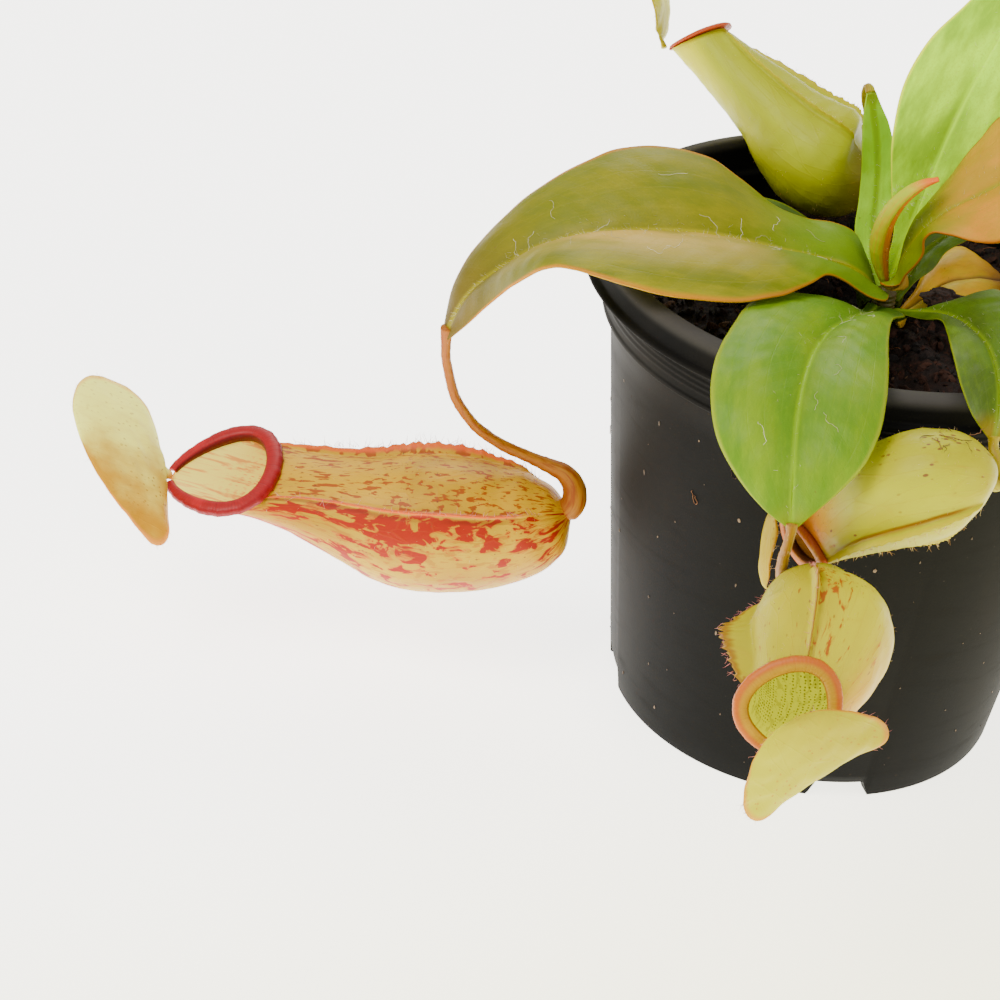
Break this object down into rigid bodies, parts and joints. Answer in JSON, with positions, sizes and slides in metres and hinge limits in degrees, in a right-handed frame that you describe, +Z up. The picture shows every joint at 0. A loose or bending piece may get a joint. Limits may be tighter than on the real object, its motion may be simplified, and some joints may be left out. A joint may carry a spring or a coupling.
{
  "type": "potted pitcher plant",
  "caption": "Tropical pitcher plant with waved strap leaves whose tips carry hanging lidded pitchers, rooted in soil in a round plastic nursery pot.",
  "frame": {"origin": "centre of the pot's flat base disc, on the ground", "axes": "+Z up along the pot's axis, -Y toward the viewer's side, -X toward the long red pitcher"},
  "size_m": [0.1947, 0.1726, 0.163],
  "materials": {
    "pot": "black moulded plastic, slightly glossy",
    "soil": "dark, damp and crumbly",
    "bark": "rough, dark brown",
    "stem": "green, slightly waxy",
    "leaf_olive": "olive green, half gloss",
    "leaf_green": "bright green, half gloss",
    "leaf_lime": "pale lime green, half gloss",
    "leaf_grey": "grey green, satin",
    "leaf_bronze": "bronze pink, half gloss",
    "leaf_shoot": "yellow green with an orange stripe",
    "leaf_old": "dry orange yellow, matt",
    "tendril": "orange brown, satin",
    "tendril_green": "yellow green, satin",
    "cup_red": "golden yellow with red blotches, satin",
    "cup_yellow": "yellow green with brown specks, satin",
    "rim_red": "crimson, ribbed and glossy",
    "rim_orange": "orange, ribbed and glossy",
    "lid": "translucent cream to golden yellow"
  },
  "bodies": {
    "root": {"pot": "pot", "soil": "soil", "stem": "stem", "leaf_left": "leaf_olive", "leaf_front": "leaf_green", "leaf_right": "leaf_green", "leaf_tall": "leaf_lime", "leaf_back": "leaf_grey", "leaf_bronze": "leaf_bronze", "leaf_small": "leaf_green", "leaf_low": "leaf_green", "leaf_old": "leaf_old", "leaf_shoot": "leaf_shoot", "tendril_left": "tendril", "tendril_front": "tendril", "tendril_right": "tendril_green", "tendril_back": "tendril_green", "bark_chip": "bark", "pitcher_left": "cup_red", "peristome_left": "rim_red", "lid_left": "lid", "pitcher_front": "cup_yellow", "peristome_front": "rim_orange", "lid_front": "lid", "pitcher_right": "cup_yellow", "peristome_right": "rim_orange", "lid_right": "lid", "pitcher_back": "cup_yellow", "peristome_back": "rim_orange", "lid_back": "lid"}
  },
  "joints": []
}
